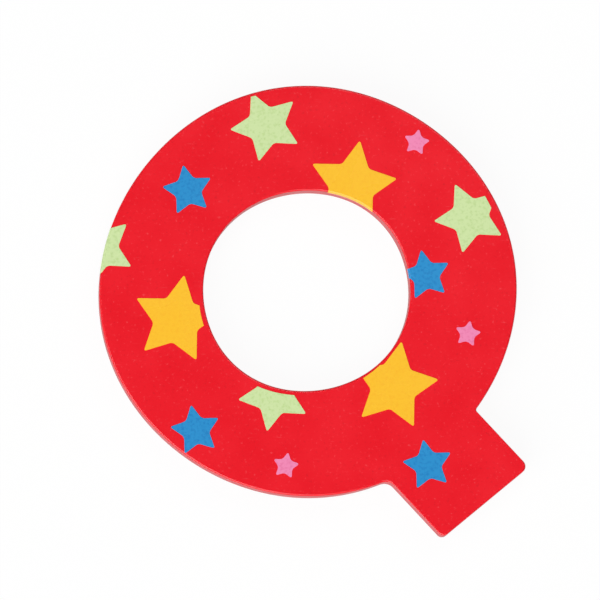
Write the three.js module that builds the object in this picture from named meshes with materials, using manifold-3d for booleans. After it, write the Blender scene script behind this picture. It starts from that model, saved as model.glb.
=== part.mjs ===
// A painted wooden letter Q: five birch plies, a coat of red paint and fourteen printed stars.
// Millimetres, lying on its back: +X is the letter's right, +Y its top and +Z its front.
import * as THREE from "three";
import { mergeVertices } from "three/addons/utils/BufferGeometryUtils.js";
import Module from "manifold-3d";

// The ring, measured over the paint. Its outside and its hole are ovals, turned a little. Between the axes,
// the outside is a little flat and the hole a little full, so the limb is thinnest there
const RING_WIDTH = 70;
const RING_HEIGHT = 68.9;
const LIMB_WIDTH = 17.5; // the mean of the limb's two sides
const HOLE_OFFSET = -0.24; // the hole is sawn a little to the left of the ring's centre
const OVAL_TURN = THREE.MathUtils.degToRad(9);
const RING_FLATNESS = 0.0052; // flat between the axes, as a share of the radius
const HOLE_FLATNESS = -0.0063; // full between the axes

// The tail, which leaves the ring at the lower right
const TAIL_DIRECTION = THREE.MathUtils.degToRad(-47);
const TAIL_WIDTH = 18.7;
const TAIL_REACH = 46.4; // from the ring's centre to the middle of the tail's end
const TAIL_OFFSET = -2.45; // its middle line passes this far to the lower left of the ring's centre
const TAIL_END_SKEW = THREE.MathUtils.degToRad(3.5); // the end is sawn a little out of square
const OUTER_CORNER_RADIUS = 1.2;
const LOWER_CORNER_RADIUS = 1;
const UPPER_NOTCH_RADIUS = 0.5;
const LOWER_NOTCH_RADIUS = 2;

// The plywood and what lies on it
const FACE_VENEER = 1.2;
const INNER_VENEER = 1.35;
const ARRIS_RADIUS = 0.35; // the sanded edge of the bare wood
const PAINT_THICKNESS = 0.15;
const PAINT_LINE = 0.2; // height above the back at which the paint stops
const INK_THICKNESS = 0.05;

// The print: its outline is drawn in from the letter's, with the hole in the middle of the ring, and it
// landed a little to the left and low
const PRINT_INSET = 0.35;
const PRINT_SHIFT_X = -0.7;
const PRINT_SHIFT_Y = -0.4;
const STAR_POINTS = 5;
const STAR_WAIST = 0.51; // inner corners, as a share of the star's radius
const INKS = {
  green: { color: 0xcce1a4, starRadius: 6.2, starTurn: 42.2 },
  blue: { color: 0x328dc9, starRadius: 4.43, starTurn: 28.6 },
  yellow: { color: 0xfbbf36, starRadius: 7.66, starTurn: 8.1 },
  pink: { color: 0xf590b9, starRadius: 2.37, starTurn: 7.6 },
};
// Each star on the ring has its angle round the ring, and its place out from the middle of the limb as a
// share of the limb's width
const RING_STARS = [
  { name: "green_star_top", ink: "green", angle: 104.2, outward: 0.169 },
  { name: "green_star_right", ink: "green", angle: 24.5, outward: 0.217 },
  { name: "green_star_left", ink: "green", angle: 168.6, outward: 0.547 },
  { name: "green_star_bottom", ink: "green", angle: 252.1, outward: -0.409 },
  { name: "blue_star_upper_left", ink: "blue", angle: 140.1, outward: 0.019 },
  { name: "blue_star_right", ink: "blue", angle: 7.6, outward: -0.357 },
  { name: "blue_star_lower_left", ink: "blue", angle: 231.2, outward: 0.245 },
  { name: "yellow_star_top", ink: "yellow", angle: 67.4, outward: -0.369 },
  { name: "yellow_star_left", ink: "yellow", angle: 192.4, outward: -0.202 },
  { name: "yellow_star_lower_right", ink: "yellow", angle: 311.9, outward: -0.252 },
  { name: "pink_star_upper_right", ink: "pink", angle: 53.9, outward: 0.293 },
  { name: "pink_star_right", ink: "pink", angle: 344.9, outward: 0.091 },
  { name: "pink_star_bottom", ink: "pink", angle: 262.6, outward: 0.229 },
];
// The star on the tail is set from the tail's end, and off its middle line by a share of the tail's width
const TAIL_STAR = { name: "blue_star_tail", ink: "blue", endDistance: 11.25, sideways: -0.152 };

const BIRCH_COLOR = 0xe3c79d;
const PAINT_COLOR = 0xec232f;

// Fineness of the facets
const RING_STEPS = 68;
const HOLE_STEPS = 72;
const CORNER_STEPS = 4;
const ARRIS_STEPS = 2;
const SEARCH_STEPS = 50;
const SMALL_ANGLE = 0.0001; // for the direction of an oval at a point
const SLAB_MARGIN = 5; // how far a cutting slab runs past what it cuts

const WOOD_THICKNESS = 2 * FACE_VENEER + 3 * INNER_VENEER;
const FRONT = WOOD_THICKNESS + PAINT_THICKNESS;
const PAINTED_ARRIS = ARRIS_RADIUS + PAINT_THICKNESS;
const BELOW_FRONT = FRONT - SLAB_MARGIN;
const ABOVE_FRONT = FRONT + SLAB_MARGIN;
const ALONG_TAIL = new THREE.Vector2(Math.cos(TAIL_DIRECTION), Math.sin(TAIL_DIRECTION));
const ACROSS_TAIL = new THREE.Vector2(-ALONG_TAIL.y, ALONG_TAIL.x);

const wasm = await Module();
wasm.setup();

// Solids: a closed geometry goes in to be cut or joined, and comes back as a geometry
function solidFrom(geometry) {
  geometry.deleteAttribute("normal");
  geometry.deleteAttribute("uv");
  const merged = mergeVertices(geometry);
  return new wasm.Manifold(
    new wasm.Mesh({
      numProp: 3,
      vertProperties: merged.attributes.position.array,
      triVerts: Uint32Array.from(merged.index.array),
    }),
  );
}

function geometryFrom(solid) {
  const mesh = solid.getMesh();
  const geometry = new THREE.BufferGeometry();
  geometry.setAttribute("position", new THREE.BufferAttribute(mesh.vertProperties, 3));
  geometry.setIndex(new THREE.BufferAttribute(mesh.triVerts, 1));
  geometry.computeVertexNormals();
  return geometry;
}

// A point given along the tail from the ring's centre, and across it
function tailPoint(along, across) {
  return ALONG_TAIL.clone().multiplyScalar(along).addScaledVector(ACROSS_TAIL, across);
}

// An arc as points, so that every offset of the outline has the same number of them
function arcPoints(centre, radius, from, to, clockwise) {
  const arc = new THREE.EllipseCurve(centre.x, centre.y, radius, radius, from, to, clockwise);
  return arc.getPoints(CORNER_STEPS);
}

// The ring's outside, and its hole, when the letter is made bigger all round by grow
function ringOval(grow) {
  const centre = new THREE.Vector2();
  const halfWidth = RING_WIDTH / 2 + grow;
  const halfHeight = RING_HEIGHT / 2 + grow;
  return { centre, halfWidth, halfHeight, flatness: RING_FLATNESS };
}

function holeOval(grow, offset) {
  const centre = new THREE.Vector2(offset, 0);
  const halfWidth = RING_WIDTH / 2 - LIMB_WIDTH - grow;
  const halfHeight = RING_HEIGHT / 2 - LIMB_WIDTH - grow;
  return { centre, halfWidth, halfHeight, flatness: HOLE_FLATNESS };
}

// A point at an angle round an oval
function ovalPoint(oval, angle) {
  const fromAxis = angle - OVAL_TURN;
  const point = new THREE.Vector2(oval.halfWidth * Math.cos(fromAxis), oval.halfHeight * Math.sin(fromAxis));
  point.multiplyScalar(1 + oval.flatness * Math.cos(4 * fromAxis));
  return point.rotateAround(new THREE.Vector2(), OVAL_TURN).add(oval.centre);
}

// Points that part a sweep round an oval into equal steps
function ovalPoints(oval, from, sweep, steps) {
  return Array.from({ length: steps }, (_, step) => ovalPoint(oval, from + (sweep * step) / steps));
}

// Where the ring meets the tail: a circle in the notch that touches both the ring and the tail's edge
function notch(ring, radius, edge, side) {
  const place = { centre: new THREE.Vector2(), ringAngle: 0, facing: 0 };
  let near = TAIL_DIRECTION;
  let far = TAIL_DIRECTION + (side * Math.PI) / 2;
  for (let step = 0; step < SEARCH_STEPS; step++) {
    place.ringAngle = (near + far) / 2;
    const before = ovalPoint(ring, place.ringAngle - SMALL_ANGLE);
    const along = ovalPoint(ring, place.ringAngle + SMALL_ANGLE).sub(before).normalize();
    const outward = new THREE.Vector2(along.y, -along.x);
    place.facing = outward.angle();
    place.centre = ovalPoint(ring, place.ringAngle).addScaledVector(outward, radius);
    if (side * (place.centre.dot(ACROSS_TAIL) - edge) < radius) near = place.ringAngle;
    else far = place.ringAngle;
  }
  return place;
}

// The centre of a rounded corner at the tail's end
function cornerCentre(radius, edge, side, reach) {
  const across = edge - side * radius;
  const skewed = (across - TAIL_OFFSET) * Math.sin(TAIL_END_SKEW) - radius;
  return tailPoint(reach + skewed / Math.cos(TAIL_END_SKEW), across);
}

// The letter's outline with its hole, made bigger all round by grow
function letterShape(grow, holeOffset = HOLE_OFFSET) {
  const ring = ringOval(grow);
  const hole = holeOval(grow, holeOffset);
  const upperEdge = TAIL_OFFSET + TAIL_WIDTH / 2 + grow;
  const lowerEdge = TAIL_OFFSET - TAIL_WIDTH / 2 - grow;
  const reach = TAIL_REACH + grow / Math.cos(TAIL_END_SKEW);
  const upperNotchRadius = UPPER_NOTCH_RADIUS - grow;
  const lowerNotchRadius = LOWER_NOTCH_RADIUS - grow;
  const outerRadius = OUTER_CORNER_RADIUS + grow;
  const lowerRadius = LOWER_CORNER_RADIUS + grow;
  const upper = notch(ring, upperNotchRadius, upperEdge, 1);
  const lower = notch(ring, lowerNotchRadius, lowerEdge, -1);
  const outerCorner = cornerCentre(outerRadius, upperEdge, 1, reach);
  const lowerCorner = cornerCentre(lowerRadius, lowerEdge, -1, reach);
  const up = TAIL_DIRECTION + Math.PI / 2;
  const down = TAIL_DIRECTION - Math.PI / 2;
  const end = TAIL_DIRECTION - TAIL_END_SKEW;
  const ringSweep = lower.ringAngle + 2 * Math.PI - upper.ringAngle;
  const shape = new THREE.Shape([
    ...ovalPoints(ring, upper.ringAngle, ringSweep, RING_STEPS).slice(1),
    ...arcPoints(lower.centre, lowerNotchRadius, lower.facing + Math.PI, up, true),
    ...arcPoints(lowerCorner, lowerRadius, down, end, false),
    ...arcPoints(outerCorner, outerRadius, end, up, false),
    ...arcPoints(upper.centre, upperNotchRadius, down, upper.facing + Math.PI, true),
  ]);
  shape.holes.push(new THREE.Path(ovalPoints(hole, 0, -2 * Math.PI, HOLE_STEPS)));
  return shape;
}

// A board of the letter's outline, its edges rounded on both faces
function roundedBoard(grow, radius, bottom, top) {
  const board = new THREE.ExtrudeGeometry(letterShape(grow), {
    depth: top - bottom - 2 * radius,
    bevelThickness: radius,
    bevelSize: radius,
    bevelOffset: -radius,
    bevelSegments: ARRIS_STEPS,
  });
  return solidFrom(board.translate(0, 0, bottom + radius));
}

// A flat plate of any outline, with square edges
function plate(shape, bottom, top, shiftX = 0, shiftY = 0) {
  const flat = new THREE.ExtrudeGeometry(shape, { depth: top - bottom, bevelEnabled: false });
  return solidFrom(flat.translate(shiftX, shiftY, bottom));
}

// Everything between two heights, to slice the board into its plies
function slab(bottom, top) {
  const side = 2 * (RING_WIDTH + RING_HEIGHT + TAIL_REACH);
  const box = new THREE.BoxGeometry(side, side, top - bottom);
  return solidFrom(box.translate(0, 0, (bottom + top) / 2));
}

function starShape(ink, centre) {
  const corners = [];
  for (let corner = 0; corner < 2 * STAR_POINTS; corner++) {
    const radius = ink.starRadius * (corner % 2 ? STAR_WAIST : 1);
    const angle = THREE.MathUtils.degToRad(ink.starTurn) + (corner * Math.PI) / STAR_POINTS;
    corners.push(new THREE.Vector2(Math.cos(angle), Math.sin(angle)).multiplyScalar(radius).add(centre));
  }
  return new THREE.Shape(corners);
}

function ringStarCentre(star) {
  const angle = THREE.MathUtils.degToRad(star.angle);
  const middleWidth = (RING_WIDTH - LIMB_WIDTH) / 2;
  const middleHeight = (RING_HEIGHT - LIMB_WIDTH) / 2;
  const slant = Math.hypot(middleHeight * Math.cos(angle), middleWidth * Math.sin(angle));
  const distance = (middleWidth * middleHeight) / slant + star.outward * LIMB_WIDTH;
  return new THREE.Vector2(Math.cos(angle), Math.sin(angle)).multiplyScalar(distance);
}

const letter = new THREE.Group();

function addPiece(name, solid, color, roughness) {
  const material = new THREE.MeshStandardMaterial({ color, roughness, metalness: 0 });
  const piece = new THREE.Mesh(geometryFrom(solid), material);
  piece.name = name;
  letter.add(piece);
}

// The plies, sliced from one rounded board, from the back to the front
const woodBoard = roundedBoard(-PAINT_THICKNESS, ARRIS_RADIUS, 0, WOOD_THICKNESS);
const plies = [
  { name: "back_veneer", thickness: FACE_VENEER },
  { name: "back_crossband", thickness: INNER_VENEER },
  { name: "core_veneer", thickness: INNER_VENEER },
  { name: "front_crossband", thickness: INNER_VENEER },
  { name: "front_veneer", thickness: FACE_VENEER },
];
let glueLine = 0;
for (const ply of plies) {
  const nextGlueLine = glueLine + ply.thickness;
  addPiece(ply.name, woodBoard.intersect(slab(glueLine, nextGlueLine)), BIRCH_COLOR, 0.6);
  glueLine = nextGlueLine;
}

// The paint: a skin over the front and the edges, open at the bare back
const paintedBoard = roundedBoard(0, PAINTED_ARRIS, -PAINT_THICKNESS, FRONT);
const paintCoat = paintedBoard.subtract(woodBoard).intersect(slab(PAINT_LINE, ABOVE_FRONT));
addPiece("red_paint_coat", paintCoat, PAINT_COLOR, 0.3);

// The stars: films of ink on the flat of the front, cut off where the print's own outline ends
const flatFront = plate(letterShape(-PAINTED_ARRIS), BELOW_FRONT, ABOVE_FRONT);
const printShape = letterShape(-PRINT_INSET, 0);
const printOutline = plate(printShape, BELOW_FRONT, ABOVE_FRONT, PRINT_SHIFT_X, PRINT_SHIFT_Y);
const printArea = printOutline.intersect(flatFront);

function addStar(star, centre) {
  const ink = INKS[star.ink];
  const film = plate(starShape(ink, centre), FRONT, FRONT + INK_THICKNESS);
  addPiece(star.name, film.intersect(printArea), ink.color, 0.35);
}

for (const star of RING_STARS) addStar(star, ringStarCentre(star));
const tailStarAcross = TAIL_OFFSET + TAIL_STAR.sideways * TAIL_WIDTH;
addStar(TAIL_STAR, tailPoint(TAIL_REACH - TAIL_STAR.endDistance, tailStarAcross));

// The origin is under the middle of the letter's box, on the face that it lies on
const middle = new THREE.Box2().setFromPoints(letterShape(0).getPoints()).getCenter(new THREE.Vector2());
letter.position.set(-middle.x, -middle.y, 0);

export default letter;
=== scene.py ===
# %% [markdown]
# # A painted wooden letter Q
# The real letter is sawn from thin birch plywood, sanded, painted red on the front and the edges, and
# screen-printed with plain stars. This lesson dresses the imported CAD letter: the paint, the stars and
# the bare back get fine meshes and finishes, and the plies hidden inside keep their CAD shapes.

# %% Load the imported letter
import math

import bpy
from mathutils import Matrix, Vector


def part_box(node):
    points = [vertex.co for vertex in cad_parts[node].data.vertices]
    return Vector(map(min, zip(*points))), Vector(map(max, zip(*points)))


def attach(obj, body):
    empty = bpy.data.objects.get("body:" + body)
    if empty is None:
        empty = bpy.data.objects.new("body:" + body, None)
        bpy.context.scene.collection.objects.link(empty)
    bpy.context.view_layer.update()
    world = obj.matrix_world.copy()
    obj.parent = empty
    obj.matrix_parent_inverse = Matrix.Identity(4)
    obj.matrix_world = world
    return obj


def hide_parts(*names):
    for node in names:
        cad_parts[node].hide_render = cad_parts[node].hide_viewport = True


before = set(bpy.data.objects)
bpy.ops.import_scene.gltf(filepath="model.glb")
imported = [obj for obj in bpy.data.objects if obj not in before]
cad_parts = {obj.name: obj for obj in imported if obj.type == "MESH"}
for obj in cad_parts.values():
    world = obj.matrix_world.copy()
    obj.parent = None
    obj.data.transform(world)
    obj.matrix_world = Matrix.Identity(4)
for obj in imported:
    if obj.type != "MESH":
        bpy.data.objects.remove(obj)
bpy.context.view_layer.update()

# %% [markdown]
# The letter is an oval ring with a straight tail. These are the sizes of its outline, of its rounded edges
# and of the paint and ink on it. Heights could be typed in as well, but the paint's CAD box already says
# how high the painted front is, and where the paint stops above the bare back.

# %% Sizes of the letter
MM = 0.001
RING_WIDTH = 70 * MM
RING_HEIGHT = 68.9 * MM
LIMB_WIDTH = 17.5 * MM
HOLE_OFFSET = -0.24 * MM
OVAL_TURN = math.radians(9)
RING_FLATNESS = 0.0052
HOLE_FLATNESS = -0.0063
TAIL_DIRECTION = math.radians(-47)
TAIL_WIDTH = 18.7 * MM
TAIL_REACH = 46.4 * MM
TAIL_OFFSET = -2.45 * MM
TAIL_END_SKEW = math.radians(3.5)
OUTER_CORNER_RADIUS = 1.2 * MM
LOWER_CORNER_RADIUS = 1 * MM
UPPER_NOTCH_RADIUS = 0.5 * MM
LOWER_NOTCH_RADIUS = 2 * MM
PAINT_THICKNESS = 0.15 * MM
PAINTED_ARRIS = 0.34 * MM
BARE_ARRIS = 0.35 * MM
INK_THICKNESS = 0.05 * MM

paint_low, paint_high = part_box("red_paint_coat")
FRONT = paint_high.z
PAINT_LINE = paint_low.z
ALONG_TAIL = Vector((math.cos(TAIL_DIRECTION), math.sin(TAIL_DIRECTION)))
ACROSS_TAIL = Vector((-ALONG_TAIL.y, ALONG_TAIL.x))
print("front:", FRONT, "paint line:", PAINT_LINE)

# %% [markdown]
# The outline is an oval, two straight sides and a skewed end, joined by small arcs. The oval is turned a
# little, and it is a little flat between its axes, while the hole is a little full there. Points placed by
# eye could give this shape too, but points worked out from the sizes lie on truly smooth curves. Each arc
# in a notch touches the oval and the side of the tail, so its centre is searched for along the oval.
# Growing or shrinking the outline moves every line and radius by the same amount, which gives the wood
# under the paint.

# %% The outline, as points
RING_STEPS = 300
CORNER_STEPS = 12
SEARCH_STEPS = 50
SMALL_ANGLE = 0.0001
FLATS_ROUND_OVAL = 4


def oval_point(half_width, half_height, flatness, angle):
    """A point on an oval that is flat between its axes, or full there where flatness is negative."""
    from_axis = angle - OVAL_TURN
    swell = 1 + flatness * math.cos(FLATS_ROUND_OVAL * from_axis)
    point = Vector((half_width * math.cos(from_axis), half_height * math.sin(from_axis))) * swell
    return Matrix.Rotation(OVAL_TURN, 2) @ point


def ring_point(grow, angle):
    """A point on the ring's outside, grown all round."""
    return oval_point(RING_WIDTH / 2 + grow, RING_HEIGHT / 2 + grow, RING_FLATNESS, angle)


def arc(centre, radius, start, turn):
    """Points on an arc that starts at one angle and turns, anticlockwise where the turn is positive."""
    angles = [start + turn * step / CORNER_STEPS for step in range(CORNER_STEPS + 1)]
    return [centre + radius * Vector((math.cos(angle), math.sin(angle))) for angle in angles]


def notch(grow, radius, edge, side):
    """The circle in a notch: its centre, its angle round the ring, and which way the ring faces there."""
    near, far = TAIL_DIRECTION, TAIL_DIRECTION + side * math.pi / 2
    for _ in range(SEARCH_STEPS):
        ring_angle = (near + far) / 2
        along = ring_point(grow, ring_angle + SMALL_ANGLE) - ring_point(grow, ring_angle - SMALL_ANGLE)
        outward = Vector((along.y, -along.x)).normalized()
        centre = ring_point(grow, ring_angle) + radius * outward
        if side * (centre.dot(ACROSS_TAIL) - edge) < radius:
            near = ring_angle
        else:
            far = ring_angle
    return centre, ring_angle, math.atan2(outward.y, outward.x)


def corner_centre(radius, edge, side, reach):
    """The centre of a rounded corner at the end of the tail."""
    across = edge - side * radius
    skewed = (across - TAIL_OFFSET) * math.sin(TAIL_END_SKEW) - radius
    return ALONG_TAIL * (reach + skewed / math.cos(TAIL_END_SKEW)) + ACROSS_TAIL * across


def letter_outline(grow):
    """The outside of the letter, grown all round, anticlockwise from the notch above the tail."""
    upper_edge = TAIL_OFFSET + TAIL_WIDTH / 2 + grow
    lower_edge = TAIL_OFFSET - TAIL_WIDTH / 2 - grow
    reach = TAIL_REACH + grow / math.cos(TAIL_END_SKEW)
    upper_radius, lower_radius = UPPER_NOTCH_RADIUS - grow, LOWER_NOTCH_RADIUS - grow
    end_radius, heel_radius = OUTER_CORNER_RADIUS + grow, LOWER_CORNER_RADIUS + grow
    upper, upper_angle, upper_facing = notch(grow, upper_radius, upper_edge, 1)
    lower, lower_angle, lower_facing = notch(grow, lower_radius, lower_edge, -1)
    heel = corner_centre(heel_radius, lower_edge, -1, reach)
    end = corner_centre(end_radius, upper_edge, 1, reach)
    quarter = math.pi / 2
    sweep = lower_angle + 2 * math.pi - upper_angle
    ring_angles = [upper_angle + sweep * step / RING_STEPS for step in range(1, RING_STEPS)]
    points = [ring_point(grow, angle) for angle in ring_angles]
    points += arc(lower, lower_radius, lower_facing + math.pi, TAIL_DIRECTION - quarter - lower_facing)
    points += arc(heel, heel_radius, TAIL_DIRECTION - quarter, quarter - TAIL_END_SKEW)
    points += arc(end, end_radius, TAIL_DIRECTION - TAIL_END_SKEW, quarter + TAIL_END_SKEW)
    points += arc(upper, upper_radius, TAIL_DIRECTION - quarter, upper_facing - quarter - TAIL_DIRECTION)
    return points


def eye_outline(grow, offset, count):
    """The oval hole, which shrinks as the letter grows, moved sideways from the ring's centre."""
    half_width = RING_WIDTH / 2 - LIMB_WIDTH - grow
    half_height = RING_HEIGHT / 2 - LIMB_WIDTH - grow
    centre = Vector((offset, 0))
    angles = [2 * math.pi * step / count for step in range(count)]
    return [centre + oval_point(half_width, half_height, HOLE_FLATNESS, angle) for angle in angles]


outline = letter_outline(0)
left, top = min(point.x for point in outline), max(point.y for point in outline)
RING_CENTRE = Vector((paint_low.x - left, paint_high.y - top))
print("points in the outline:", len(outline), "ring centre:", tuple(RING_CENTRE))

# %% [markdown]
# Modelling by hand means selecting, then using an operator on what is selected. These helpers do the
# selecting: one object at a time, or the faces of an object that pass a test. Loading leaves the CAD
# nodes selected, so they are let go first.

# %% Selecting
def select_only(*pieces):
    """Leaves only these objects selected, with the first one active, in object mode."""
    if bpy.context.object and bpy.context.object.mode != "OBJECT":
        bpy.ops.object.mode_set(mode="OBJECT")
    bpy.ops.object.select_all(action="DESELECT")
    for piece in pieces:
        piece.select_set(True)
    bpy.context.view_layer.objects.active = pieces[0] if pieces else None


def edit_faces(piece, wanted):
    """Opens edit mode with only the faces selected that pass the test."""
    select_only(piece)
    bpy.ops.object.mode_set(mode="EDIT")
    bpy.ops.mesh.select_mode(type="FACE")
    bpy.ops.mesh.select_all(action="DESELECT")
    bpy.ops.object.mode_set(mode="OBJECT")
    for face in piece.data.polygons:
        face.select = wanted(face)
    bpy.ops.object.mode_set(mode="EDIT")


select_only()
print("still selected:", len(bpy.context.selected_objects))

# %% [markdown]
# Modifiers finish a mesh: here they thicken a skin, cut one shape with another, and even out the shading.
# They could stay live, but each is applied at once, so that the mesh that is seen is the one that is kept.
# Faces that meet at a small angle are shaded as one smooth surface, and other edges stay crisp.

# %% Modifiers and shading
SMOOTHING_ANGLE = math.radians(30)


def apply_modifier(piece, kind, **settings):
    """Adds a modifier with its settings and applies it."""
    select_only(piece)
    modifier = piece.modifiers.new(kind.lower(), kind)
    for name, value in settings.items():
        setattr(modifier, name, value)
    bpy.ops.object.modifier_apply(modifier=modifier.name)


def smooth(piece):
    """Smooths rounded edges and keeps the large flat faces truly flat."""
    select_only(piece)
    bpy.ops.object.shade_smooth_by_angle(angle=SMOOTHING_ANGLE)
    apply_modifier(piece, "WEIGHTED_NORMAL", keep_sharp=True)


print("smooth below", round(math.degrees(SMOOTHING_ANGLE)), "degrees")

# %% [markdown]
# Every board of the letter starts as its flat face. Two circle primitives have one vertex for each point of
# the outline and of the hole. Their vertices move onto the outlines, and a bridge closes the face between
# the two loops with clean four-sided faces. A filled circle cut by booleans would also work, but its long
# slivers make rounded edges that ripple.

# %% A flat letter face
def loop_of(points, height):
    """A circle primitive whose vertices lie on the given points about the ring's centre."""
    select_only()
    bpy.ops.mesh.primitive_circle_add(vertices=len(points), radius=RING_WIDTH / 2)
    loop = bpy.context.object
    for vertex, point in zip(loop.data.vertices, points):
        vertex.co = (*(RING_CENTRE + point), height)
    return loop


def letter_face(name, grow, height, hole_offset=HOLE_OFFSET):
    """The letter as one flat face with its hole, at a height."""
    points = letter_outline(grow)
    outside = loop_of(points, height)
    eye = loop_of(eye_outline(grow, hole_offset, len(points)), height)
    select_only(outside, eye)
    bpy.ops.object.join()
    outside.name = outside.data.name = name
    bpy.ops.object.mode_set(mode="EDIT")
    bpy.ops.mesh.select_all(action="SELECT")
    bpy.ops.mesh.bridge_edge_loops()
    bpy.ops.object.mode_set(mode="OBJECT")
    return outside


print("vertices in a flat letter:", 2 * len(outline))

# %% [markdown]
# The paint is a skin: the front face, its rim pulled down into walls as far as the bare back, and the
# sharp edge between them rounded with a bevel. Real paint shrinks back from a sharp edge, so such letters
# are sanded round first. A block with a smaller block cut out of it would also do, but Solidify gives the
# skin the same thickness everywhere, as a few sprayed coats have.

# %% The skin of the painted letter
ARRIS_STEPS = 6
LEVEL = 0.99  # a face whose normal is at least this much upright counts as level


def is_front(face):
    """A level face at the top of the letter."""
    return abs(face.normal.z) > LEVEL and face.center.z > FRONT - PAINT_THICKNESS


def round_rim(piece, wanted, radius):
    """Rounds the edges round the faces that pass the test."""
    edit_faces(piece, wanted)
    bpy.ops.mesh.region_to_loop()
    bpy.ops.mesh.bevel(offset=radius, segments=ARRIS_STEPS, affect="EDGES", clamp_overlap=False)
    bpy.ops.object.mode_set(mode="OBJECT")


def letter_skin(name, wall_depth):
    """The painted surface: the front, the rounded arris and the walls down to a depth."""
    skin = letter_face(name, 0, FRONT)
    edit_faces(skin, is_front)
    bpy.ops.mesh.region_to_loop()
    bpy.ops.mesh.extrude_region_move(TRANSFORM_OT_translate={"value": (0, 0, -wall_depth)})
    bpy.ops.mesh.select_all(action="SELECT")
    bpy.ops.mesh.normals_make_consistent(inside=False)
    round_rim(skin, is_front, PAINTED_ARRIS)
    front_faces = [face for face in skin.data.polygons if is_front(face)]
    if front_faces[0].normal.z < 0:
        skin.data.flip_normals()
    return skin


painted_letter = letter_skin("painted_letter", FRONT - PAINT_LINE)
apply_modifier(painted_letter, "SOLIDIFY", thickness=PAINT_THICKNESS, offset=-1, use_even_offset=True)
smooth(painted_letter)
print("painted_letter:", len(painted_letter.data.polygons), "faces")

# %% [markdown]
# The back veneer is the one ply that shows: the bare side that rests on the table. It is the same outline,
# smaller by the paint, pulled up to the first glue line, with the edge at the back sanded round. The CAD
# ply could stay in its place, but the fresh mesh has a smoother round along its edge.

# %% The bare back veneer
PAINT_CLEARANCE = 0.01 * MM

veneer_low, veneer_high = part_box("back_veneer")


def pull_up(piece, height):
    """Pulls a flat face up into a closed block."""
    edit_faces(piece, lambda face: True)
    bpy.ops.mesh.extrude_region_move(TRANSFORM_OT_translate={"value": (0, 0, height)})
    bpy.ops.mesh.select_all(action="SELECT")
    bpy.ops.mesh.normals_make_consistent(inside=False)
    bpy.ops.object.mode_set(mode="OBJECT")


bare_back = letter_face("bare_back_veneer", -PAINT_THICKNESS - PAINT_CLEARANCE, veneer_low.z)
pull_up(bare_back, veneer_high.z - veneer_low.z)
round_rim(bare_back, lambda face: face.normal.z < -LEVEL, BARE_ARRIS)
smooth(bare_back)
print("bare_back_veneer:", len(bare_back.data.polygons), "faces")

# %% [markdown]
# The stars are thin films of ink. They could be a pattern in the paint's material, but a film with its own
# mesh keeps a crisp edge from any distance. Each is stamped out of a skin of ink that follows the front
# and its rounded edge, so a star at the rim bends over the edge as a print does. The print's own outline
# is a little smaller than the letter, with its hole in the middle of the ring, and it landed a little left
# and low, which cuts some stars short of the edge.

# %% Where the stars are
PRINT_INSET = 0.35 * MM
PRINT_SHIFT = Vector((-0.7 * MM, -0.4 * MM))
STAR_POINTS = 5
STAR_WAIST = 0.51
# Each colour has one size of star, from its middle to a point, and one turn from the letter's right
STAR_SIZES = {
    "green": (6.2 * MM, math.radians(42.2)),
    "blue": (4.43 * MM, math.radians(28.6)),
    "yellow": (7.66 * MM, math.radians(8.1)),
    "pink": (2.37 * MM, math.radians(7.6)),
}
# A star on the ring has its angle round the ring in degrees, and its place out from the middle of the
# limb as a share of the limb's width
RING_STARS = {
    "green_star_top": (104.2, 0.169),
    "green_star_right": (24.5, 0.217),
    "green_star_left": (168.6, 0.547),
    "green_star_bottom": (252.1, -0.409),
    "blue_star_upper_left": (140.1, 0.019),
    "blue_star_right": (7.6, -0.357),
    "blue_star_lower_left": (231.2, 0.245),
    "yellow_star_top": (67.4, -0.369),
    "yellow_star_left": (192.4, -0.202),
    "yellow_star_lower_right": (311.9, -0.252),
    "pink_star_upper_right": (53.9, 0.293),
    "pink_star_right": (344.9, 0.091),
    "pink_star_bottom": (262.6, 0.229),
}
TAIL_STAR = "blue_star_tail"
TAIL_STAR_FROM_END = 11.25 * MM
TAIL_STAR_SIDEWAYS = -0.152  # a share of the tail's width


def ring_star_centre(degrees, outward):
    """A point at an angle round the ring, off the middle line of its limb by a share of its width."""
    angle = math.radians(degrees)
    middle_width = (RING_WIDTH - LIMB_WIDTH) / 2
    middle_height = (RING_HEIGHT - LIMB_WIDTH) / 2
    slant = math.hypot(middle_height * math.cos(angle), middle_width * math.sin(angle))
    distance = middle_width * middle_height / slant + outward * LIMB_WIDTH
    return RING_CENTRE + distance * Vector((math.cos(angle), math.sin(angle)))


star_centres = {name: ring_star_centre(*place) for name, place in RING_STARS.items()}
along, across = TAIL_REACH - TAIL_STAR_FROM_END, TAIL_OFFSET + TAIL_STAR_SIDEWAYS * TAIL_WIDTH
star_centres[TAIL_STAR] = RING_CENTRE + ALONG_TAIL * along + ACROSS_TAIL * across
print("stars:", len(star_centres))

# %% [markdown]
# A star starts as a circle of ten vertices. Every second one is drawn in to the waist of the star, and the
# points are rounded, since a screen prints no sharp ones. Ten points typed in one by one would do as well,
# but the circle makes all five arms alike. The face is pulled up into a punch, and Boolean intersections
# with the print's outline and with the skin of ink leave the film.

# %% Punching the stars
PUNCH_DEPTH = 2 * MM
PRINT_DEPTH = 2 * PUNCH_DEPTH
INK_OVER_EDGE = 1 * MM
STAR_TIP_BEVEL = 0.45 * MM
STAR_TIP_STEPS = 4
FIRST_VERTEX = math.pi / 2  # a circle's first vertex points up


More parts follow.
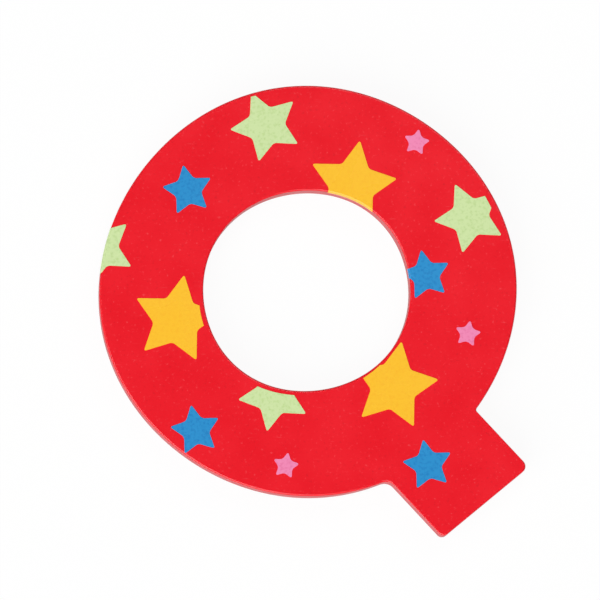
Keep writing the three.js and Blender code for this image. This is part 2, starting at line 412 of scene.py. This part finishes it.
def star_punch(name, centre, radius, turn):
    """A star-shaped block that stands through the front of the letter."""
    select_only()
    bpy.ops.mesh.primitive_circle_add(
        vertices=2 * STAR_POINTS,
        radius=radius,
        fill_type="NGON",
        location=(centre.x, centre.y, FRONT - PUNCH_DEPTH),
        rotation=(0, 0, turn - FIRST_VERTEX),
    )
    punch = bpy.context.object
    punch.name = punch.data.name = name
    for index, vertex in enumerate(punch.data.vertices):
        vertex.select = index % 2 == 0
        if not vertex.select:
            vertex.co *= STAR_WAIST
    bpy.ops.object.mode_set(mode="EDIT")
    bpy.ops.mesh.select_mode(type="VERT")
    bpy.ops.mesh.bevel(offset=STAR_TIP_BEVEL, segments=STAR_TIP_STEPS, affect="VERTICES")
    bpy.ops.object.mode_set(mode="OBJECT")
    bpy.ops.object.transform_apply(location=True, rotation=True, scale=True)
    pull_up(punch, 2 * PUNCH_DEPTH)
    return punch


def intersect(piece, tool):
    """Keeps only what the piece shares with the tool."""
    apply_modifier(piece, "BOOLEAN", operation="INTERSECT", object=tool, solver="EXACT")


print_area = letter_face("print_area", -PRINT_INSET, FRONT - PRINT_DEPTH, hole_offset=0)
pull_up(print_area, 2 * PRINT_DEPTH)
for vertex in print_area.data.vertices:
    vertex.co.xy += PRINT_SHIFT
ink_skin = letter_skin("ink_skin", INK_OVER_EDGE)
apply_modifier(ink_skin, "SOLIDIFY", thickness=INK_THICKNESS, offset=1, use_even_offset=True)

stars = {}
for node, centre in star_centres.items():
    colour = node.split("_")[0]
    star = star_punch("printed_" + node, centre, *STAR_SIZES[colour])
    intersect(star, print_area)
    intersect(star, ink_skin)
    smooth(star)
    stars[node] = star
    print(star.name, len(star.data.polygons), "faces")
for tool in (print_area, ink_skin):
    bpy.data.objects.remove(tool)

# %% [markdown]
# Materials are built from nodes. One function turns an sRGB hex colour into the linear values that shaders
# use, and one function adds a node with its settings and links. Patterns could follow a UV map, but here
# they read the place on the piece in millimetres, so that every size below is a real one.

# %% Colours and nodes
MM_PER_METRE = (1 / MM, 1 / MM, 1 / MM)


def linear(hex_colour):
    """An sRGB hex colour as linear red, green, blue and alpha."""
    shares = [int(hex_colour[at:at + 2], 16) / 255 for at in (1, 3, 5)]
    # The sRGB curve is a short straight line and then a power
    return [s / 12.92 if s <= 0.04045 else ((s + 0.055) / 1.055) ** 2.4 for s in shares] + [1.0]


def add_node(tree, kind, inputs, output=0, **settings):
    """Adds a node with its settings, sets or links its inputs, and gives back one of its outputs."""
    node = tree.nodes.new("ShaderNode" + kind)
    for name, value in settings.items():
        setattr(node, name, value)
    for name, value in inputs.items():
        if isinstance(value, bpy.types.NodeSocket):
            tree.links.new(value, node.inputs[name])
        else:
            node.inputs[name].default_value = value
    return node.outputs[output]


def new_material(name):
    """A new material: itself, its node tree, its shader and the place on the piece in millimetres."""
    material = bpy.data.materials.new(name)
    material.use_nodes = True
    tree = material.node_tree
    place = add_node(tree, "TexCoord", {}, "Object")
    in_mm = add_node(tree, "VectorMath", {0: place, 1: MM_PER_METRE}, operation="MULTIPLY")
    return material, tree, tree.nodes["Principled BSDF"], in_mm


def dress(piece, material):
    """Gives the piece this material and no other."""
    piece.data.materials.clear()
    piece.data.materials.append(material)


print("red in linear light:", linear("#ff0000"))

# %% [markdown]
# Wood grain and stray fibres come back in several finishes, so they are one pattern: noise stretched along
# the letter's width. Two more helpers use a pattern: one lays a colour over another, and one raises the
# surface.

# %% Patterns on the surface
NOISE_LOW, NOISE_HIGH = 0.3, 0.7  # most of a noise pattern lies between these values
NOISE_RANGE = {"From Min": NOISE_LOW, "From Max": NOISE_HIGH}
MIX_UNDER, MIX_OVER, MIX_COLOUR = 6, 7, 2  # a Mix node has sockets for numbers first, then for colours


def grain_streaks(tree, in_mm, length, width, detail):
    """Noise from 0 to 1, drawn out along X into streaks of a length and a width in millimetres."""
    stretch = {"Vector": in_mm, "Scale": (1 / length, 1 / width, 1 / width)}
    stretched = add_node(tree, "Mapping", stretch)
    return add_node(tree, "TexNoise", {"Vector": stretched, "Scale": 1.0, "Detail": detail})


def lay_colour(tree, under, over, pattern, edge, share):
    """Lays a colour over another where a pattern rises from the first to the second value of an edge."""
    rise = {"Value": pattern, "From Min": edge[0], "From Max": edge[1], "To Max": share}
    cover = add_node(tree, "MapRange", rise, interpolation_type="SMOOTHSTEP")
    layers = {0: cover, MIX_UNDER: under, MIX_OVER: over}
    return add_node(tree, "Mix", layers, MIX_COLOUR, data_type="RGBA")


def relief(tree, shader, layers):
    """Raises the surface by several patterns, each with its height in millimetres."""
    height = 0.0
    for pattern, height_mm in layers:
        height = add_node(tree, "Math", {0: pattern, 1: height_mm, 2: height}, operation="MULTIPLY_ADD")
    bump = add_node(tree, "Bump", {"Height": height, "Strength": 1.0, "Distance": MM})
    tree.links.new(bump, shader.inputs["Normal"])


print("helpers for grain, colour and relief")

# %% [markdown]
# The red is a satin toy enamel, sprayed on birch. One flat red would look like plastic: up close, clouds of
# slightly thinner paint, pale and dark flecks and short raised fibres catch the eye. The sawn walls drink
# more of the paint, so they dry duller, and their red is painted darker as shade. The glue lines between
# the plies show there as faint grooves.

# %% Red enamel on the birch board
DEEP_RED = "#e9071d"
THIN_RED = "#ed0b20"
PALE_RED = "#f4555c"
FLECK_RED = "#d4081b"
# The darker wall red is painted shade, standing for the shade on the walls and the lower part of the arris
SHADED_WALL_RED = "#c4081c"
GRAIN_LENGTH_MM, GRAIN_WIDTH_MM, GRAIN_RELIEF_MM = 9.0, 0.45, 0.012
FIBRE_LENGTH_MM, FIBRE_WIDTH_MM = 2.4, 0.3
CLOUD_MM = 7.0
PEEL_MM, PEEL_RELIEF_MM = 0.7, 0.006
FLECK_MM, FLECK_RELIEF_MM = 0.55, 0.006
PLY_MM = 1.35
FIRST_GLUE_LINE_MM, ABOVE_GLUE_LINES_MM = 1.2, 5.9
GLUE_LINE_MM, GLUE_LINE_RELIEF_MM = 0.12, -0.03
WALL_TOP_MM, ARRIS_TOP_MM = 6.1, 6.55  # the wall's red is whole below the first and gone above the second
ENAMEL_ROUGHNESS = {**NOISE_RANGE, "To Min": 0.2, "To Max": 0.26}
WALL_MATTNESS = 0.23
PAINT_IOR = 1.5


def glue_lines(tree, height):
    """Lines round the walls at the height of each glue line, 1 in their middle."""
    above_first = add_node(tree, "Math", {0: height, 1: FIRST_GLUE_LINE_MM}, operation="SUBTRACT")
    distance = add_node(tree, "Math", {0: above_first, 1: PLY_MM / 2}, operation="PINGPONG")
    line = add_node(tree, "MapRange", {"Value": distance, "From Min": GLUE_LINE_MM, "From Max": 0.0})
    below_front = add_node(tree, "Math", {0: height, 1: ABOVE_GLUE_LINES_MM}, operation="LESS_THAN")
    return add_node(tree, "Math", {0: line, 1: below_front}, operation="MULTIPLY")


def red_enamel():
    """Sprayed satin enamel: a deep red with faint clouds, fine flecks, short fibres and ply lines."""
    material, tree, shader, in_mm = new_material("red_enamel_on_birch_ply")
    clouds = add_node(tree, "TexNoise", {"Vector": in_mm, "Scale": 1 / CLOUD_MM, "Detail": 3.0})
    peel = add_node(tree, "TexNoise", {"Vector": in_mm, "Scale": 1 / PEEL_MM, "Detail": 2.0})
    grain = grain_streaks(tree, in_mm, GRAIN_LENGTH_MM, GRAIN_WIDTH_MM, detail=3.0)
    fibres = grain_streaks(tree, in_mm, FIBRE_LENGTH_MM, FIBRE_WIDTH_MM, detail=2.0)
    flecks = add_node(tree, "TexNoise", {"Vector": in_mm, "Scale": 1 / FLECK_MM, "Detail": 2.0})
    height = add_node(tree, "SeparateXYZ", {0: in_mm}, "Z")
    lines = glue_lines(tree, height)
    climb = {"Value": height, "From Min": ARRIS_TOP_MM, "From Max": WALL_TOP_MM}
    on_wall = add_node(tree, "MapRange", climb)
    cloud_edge = (NOISE_LOW, NOISE_HIGH)
    red = lay_colour(tree, linear(DEEP_RED), linear(THIN_RED), clouds, edge=cloud_edge, share=1.0)
    red = lay_colour(tree, red, linear(PALE_RED), fibres, edge=(0.66, 0.8), share=0.3)
    red = lay_colour(tree, red, linear(PALE_RED), flecks, edge=(0.6, 0.78), share=0.4)
    red = lay_colour(tree, red, linear(FLECK_RED), flecks, edge=(0.42, 0.26), share=0.5)
    # Painted shade: the walls and the lower part of the arris take a darker red
    red = lay_colour(tree, red, linear(SHADED_WALL_RED), on_wall, edge=(0.0, 1.0), share=1.0)
    tree.links.new(red, shader.inputs["Base Color"])
    raised = [(grain, GRAIN_RELIEF_MM), (peel, PEEL_RELIEF_MM), (flecks, FLECK_RELIEF_MM)]
    relief(tree, shader, raised + [(lines, GLUE_LINE_RELIEF_MM)])
    satin = add_node(tree, "MapRange", {"Value": clouds, **ENAMEL_ROUGHNESS})
    rough = add_node(tree, "Math", {0: on_wall, 1: WALL_MATTNESS, 2: satin}, operation="MULTIPLY_ADD")
    tree.links.new(rough, shader.inputs["Roughness"])
    shader.inputs["IOR"].default_value = PAINT_IOR
    return material


dress(painted_letter, red_enamel())
print("painted_letter is dressed in", painted_letter.data.materials[0].name)

# %% [markdown]
# The inks are screen printed: opaque, flat in colour, a little mottled where the screen left less ink, and
# thin enough to follow the grain below. Each could be made by hand, but they differ only in colour, so one
# function makes all four.

# %% Screen-printed inks
INK_COLOURS = {"green": "#cde2a5", "blue": "#238ecc", "yellow": "#fbc026", "pink": "#f189b5"}
THIN_INK_COLOURS = {"green": "#bfd893", "blue": "#187fc0", "yellow": "#f9ba23", "pink": "#e97aa7"}
MOTTLE_MM, MOTTLE_RELIEF_MM = 0.5, 0.003
INK_ROUGHNESS = {**NOISE_RANGE, "To Min": 0.24, "To Max": 0.3}


def printed_ink(colour):
    """Screen ink of one colour: opaque and satin, slightly mottled, with the grain showing through."""
    material, tree, shader, in_mm = new_material(colour + "_screen_ink")
    full, thin = linear(INK_COLOURS[colour]), linear(THIN_INK_COLOURS[colour])
    mottle = add_node(tree, "TexNoise", {"Vector": in_mm, "Scale": 1 / MOTTLE_MM, "Detail": 4.0})
    grain = grain_streaks(tree, in_mm, GRAIN_LENGTH_MM, GRAIN_WIDTH_MM, detail=3.0)
    clouds = add_node(tree, "TexNoise", {"Vector": in_mm, "Scale": 1 / CLOUD_MM, "Detail": 3.0})
    ink = lay_colour(tree, full, thin, mottle, edge=(0.45, 0.7), share=1.0)
    tree.links.new(ink, shader.inputs["Base Color"])
    relief(tree, shader, [(grain, GRAIN_RELIEF_MM), (mottle, MOTTLE_RELIEF_MM)])
    satin = add_node(tree, "MapRange", {"Value": clouds, **INK_ROUGHNESS})
    tree.links.new(satin, shader.inputs["Roughness"])
    shader.inputs["IOR"].default_value = PAINT_IOR
    return material


inks = {colour: printed_ink(colour) for colour in INK_COLOURS}
for node, star in stars.items():
    dress(star, inks[node.split("_")[0]])
print("inks:", sorted(inks))

# %% [markdown]
# Birch veneer is peeled from a turning log, so its rings wander across the sheet as broad pale waves, with
# fine short pores along the grain. Straight bands would look like sawn timber, so broad noise is folded
# into rings instead. The faces and the core run across the letter, and the two crossbands run up it, which
# is what keeps plywood flat.

# %% Bare birch veneer
CREAM_WOOD = "#e8cfa6"
RING_WOOD = "#cda878"
FIBRE_WOOD = "#d9b98a"
PORE_WOOD = "#a57f52"
RING_LENGTH_MM, RING_SPACING_MM, RING_DRIFT_MM = 60.0, 7.0, 30.0
RINGS, DRIFT_RINGS, HALF_RING = 5.0, 2.0, 0.5
# Real fibres and pores are finer, and are drawn as coarse as they need to be to show
WOOD_FIBRE_LENGTH_MM, WOOD_FIBRE_WIDTH_MM, WOOD_FIBRE_RELIEF_MM = 14.0, 0.25, 0.024
PORE_LENGTH_MM, PORE_WIDTH_MM, PORE_RELIEF_MM = 2.2, 0.16, -0.02
WOOD_ROUGHNESS = {**NOISE_RANGE, "To Min": 0.66, "To Max": 0.55}
WOOD_IOR = 1.5


def birch_veneer(name, turn):
    """Sanded rotary-cut birch: pale cream wood with wandering darker rings and fine dark pores."""
    material, tree, shader, in_mm = new_material(name)
    in_mm = add_node(tree, "Mapping", {"Vector": in_mm, "Rotation": (0, 0, turn)})
    drift = add_node(tree, "TexNoise", {"Vector": in_mm, "Scale": 1 / RING_DRIFT_MM, "Detail": 2.0})
    broad = grain_streaks(tree, in_mm, RING_LENGTH_MM, RING_SPACING_MM, detail=1.0)
    drift = add_node(tree, "Math", {0: drift, 1: DRIFT_RINGS}, operation="MULTIPLY")
    rings = add_node(tree, "Math", {0: broad, 1: RINGS, 2: drift}, operation="MULTIPLY_ADD")
    figure = add_node(tree, "Math", {0: rings, 1: HALF_RING}, operation="PINGPONG")
    fibres = grain_streaks(tree, in_mm, WOOD_FIBRE_LENGTH_MM, WOOD_FIBRE_WIDTH_MM, detail=5.0)
    pores = grain_streaks(tree, in_mm, PORE_LENGTH_MM, PORE_WIDTH_MM, detail=1.0)
    wood = lay_colour(tree, linear(CREAM_WOOD), linear(RING_WOOD), figure, edge=(0.3, 0.5), share=0.6)
    wood = lay_colour(tree, wood, linear(FIBRE_WOOD), fibres, edge=(0.35, 0.7), share=0.45)
    wood = lay_colour(tree, wood, linear(PORE_WOOD), pores, edge=(0.68, 0.8), share=0.5)
    tree.links.new(wood, shader.inputs["Base Color"])
    relief(tree, shader, [(fibres, WOOD_FIBRE_RELIEF_MM), (pores, PORE_RELIEF_MM)])
    sanded = add_node(tree, "MapRange", {"Value": fibres, **WOOD_ROUGHNESS})
    tree.links.new(sanded, shader.inputs["Roughness"])
    shader.inputs["IOR"].default_value = WOOD_IOR
    return material


across_grain = birch_veneer("birch_veneer_across", 0)
upright_grain = birch_veneer("birch_veneer_upright", math.pi / 2)
dress(bare_back, across_grain)
for node in ("front_veneer", "core_veneer"):
    dress(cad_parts[node], across_grain)
for node in ("front_crossband", "back_crossband"):
    dress(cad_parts[node], upright_grain)
print("birch on five plies")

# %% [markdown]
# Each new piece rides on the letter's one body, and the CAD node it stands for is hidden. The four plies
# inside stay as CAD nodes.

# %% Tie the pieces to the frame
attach(painted_letter, "root")
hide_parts("red_paint_coat")
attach(bare_back, "root")
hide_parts("back_veneer")
for node, star in stars.items():
    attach(star, "root")
    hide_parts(node)
print("tied: the paint, the bare back and", len(stars), "stars")

# %% [markdown]
# The stage is a white floor. Stronger lamps could whiten it, but they would bleach the letter too. So for
# the camera, and in reflections, most of its brightness is its own, and it reads as white paper. The rest
# is lit, so that it keeps the letter's soft shadow.

# %% White floor
FLOOR_SIZE = 6.0
PAPER_WHITE = "#f4f4f4"
PAPER_ROUGHNESS = 0.9
OWN_WHITE = 0.94
WHITE = (1, 1, 1, 1)


def seen_rays(tree):
    """1 for what the camera sees, straight, mirrored or through glass, and 0 for light on its way."""
    straight = add_node(tree, "LightPath", {}, "Is Camera Ray")
    rays = straight.node.outputs
    seen = add_node(tree, "Math", {0: straight, 1: rays["Is Glossy Ray"]}, operation="MAXIMUM")
    return add_node(tree, "Math", {0: seen, 1: rays["Is Transmission Ray"]}, operation="MAXIMUM")


def white_paper():
    """Matt white paper, which glows for the camera and in reflections."""
    material = bpy.data.materials.new("white_paper")
    material.use_nodes = True
    tree = material.node_tree
    shader = tree.nodes["Principled BSDF"]
    shader.inputs["Base Color"].default_value = linear(PAPER_WHITE)
    shader.inputs["Roughness"].default_value = PAPER_ROUGHNESS
    share = add_node(tree, "Math", {0: seen_rays(tree), 1: OWN_WHITE}, operation="MULTIPLY")
    glow = add_node(tree, "Emission", {"Color": WHITE, "Strength": 1.0})
    sheet = add_node(tree, "MixShader", {0: share, 1: shader.outputs[0], 2: glow})
    tree.links.new(sheet, tree.nodes["Material Output"].inputs["Surface"])
    return material


select_only()
bpy.ops.mesh.primitive_plane_add(size=FLOOR_SIZE, location=(0, 0, 0))
floor = bpy.context.object
floor.name = "floor"
dress(floor, white_paper())
print("floor:", FLOOR_SIZE, "m")

# %% [markdown]
# A soft key lamp stands high at the lower left, where the photo's light edge lines say it is. A smaller one
# fills from the upper right, so near that its faint sheen fades across the letter. The room itself is dim,
# so that the flat front, which mirrors the ceiling to the camera, keeps its deep red. Only its far walls,
# low at the horizon, look white.

# %% Light
LETTER_CENTRE = Vector((0, 0, FRONT))
ROOM_LIGHT = 0.2
ROOM_WALL_TOP, CEILING_EDGE = math.sin(math.radians(8)), math.sin(math.radians(20))


def soft_lamp(name, azimuth, elevation, distance, size, power):
    """A square soft lamp that looks at the letter from a direction in degrees."""
    turn, rise = math.radians(azimuth), math.radians(elevation)
    towards = Vector((math.cos(turn) * math.cos(rise), math.sin(turn) * math.cos(rise), math.sin(rise)))
    select_only()
    bpy.ops.object.light_add(type="AREA", location=LETTER_CENTRE + distance * towards)
    lamp = bpy.context.object
    lamp.name = name
    lamp.data.size = size
    lamp.data.energy = power
    lamp.rotation_euler = towards.to_track_quat("Z", "Y").to_euler()


def white_room():
    """A dim world whose horizon looks white."""
    world = bpy.data.worlds.new("white_room")
    world.use_nodes = True
    tree = world.node_tree
    direction = add_node(tree, "TexCoord", {}, "Generated")
    height = add_node(tree, "SeparateXYZ", {0: direction}, "Z")
    fall = {"Value": height, "From Min": CEILING_EDGE, "From Max": ROOM_WALL_TOP, "To Max": 1 - ROOM_LIGHT}
    walls = add_node(tree, "MapRange", fall, interpolation_type="SMOOTHSTEP")
    lift = {0: walls, 1: seen_rays(tree), 2: ROOM_LIGHT}
    strength = add_node(tree, "Math", lift, operation="MULTIPLY_ADD")
    background = tree.nodes["Background"]
    background.inputs["Color"].default_value = WHITE
    tree.links.new(strength, background.inputs["Strength"])
    return world


soft_lamp("key_softbox", azimuth=235, elevation=47, distance=2.0, size=2.1, power=49.5)
soft_lamp("fill_softbox", azimuth=62, elevation=57, distance=0.7, size=0.42, power=1.1)
bpy.context.scene.world = white_room()
bpy.context.scene.view_settings.view_transform = "Standard"
print("lamps: 2, and a white room")

# %% [markdown]
# The photo was taken from almost straight above, a few degrees towards the letter's lower left, which shows
# a thin strip of the walls there. A camera straight above would hide it. A long lens from two metres away
# keeps the perspective mild. The photo's scale and the place of the ring's centre in it fix where the
# camera looks.

# %% Camera
IMAGE_PIXELS = 600
PIXELS_PER_MM = 5.948
RING_CENTRE_PIXEL = Vector((308.23, 290.67))
CAMERA_DISTANCE = 2.0
CAMERA_LEAN = math.radians(4.4)
LEAN_TOWARDS = math.radians(240)
SENSOR_MM = 36.0
STRAIGHT_UP = Vector((0, 0, 1))

from_middle = (Vector((IMAGE_PIXELS / 2, IMAGE_PIXELS / 2)) - RING_CENTRE_PIXEL) / PIXELS_PER_MM * MM
look_at = Vector((RING_CENTRE.x + from_middle.x, RING_CENTRE.y - from_middle.y, FRONT))
lean = Vector((math.cos(LEAN_TOWARDS), math.sin(LEAN_TOWARDS), 0)) * math.sin(CAMERA_LEAN)
to_camera = lean + STRAIGHT_UP * math.cos(CAMERA_LEAN)
select_only()
bpy.ops.object.camera_add(location=look_at + CAMERA_DISTANCE * to_camera)
camera = bpy.context.object
camera.rotation_euler = STRAIGHT_UP.rotation_difference(to_camera).to_euler()
camera.data.sensor_width = SENSOR_MM
camera.data.lens = PIXELS_PER_MM * (CAMERA_DISTANCE / MM) * SENSOR_MM / IMAGE_PIXELS
bpy.context.scene.camera = camera
print("lens:", round(camera.data.lens), "mm")
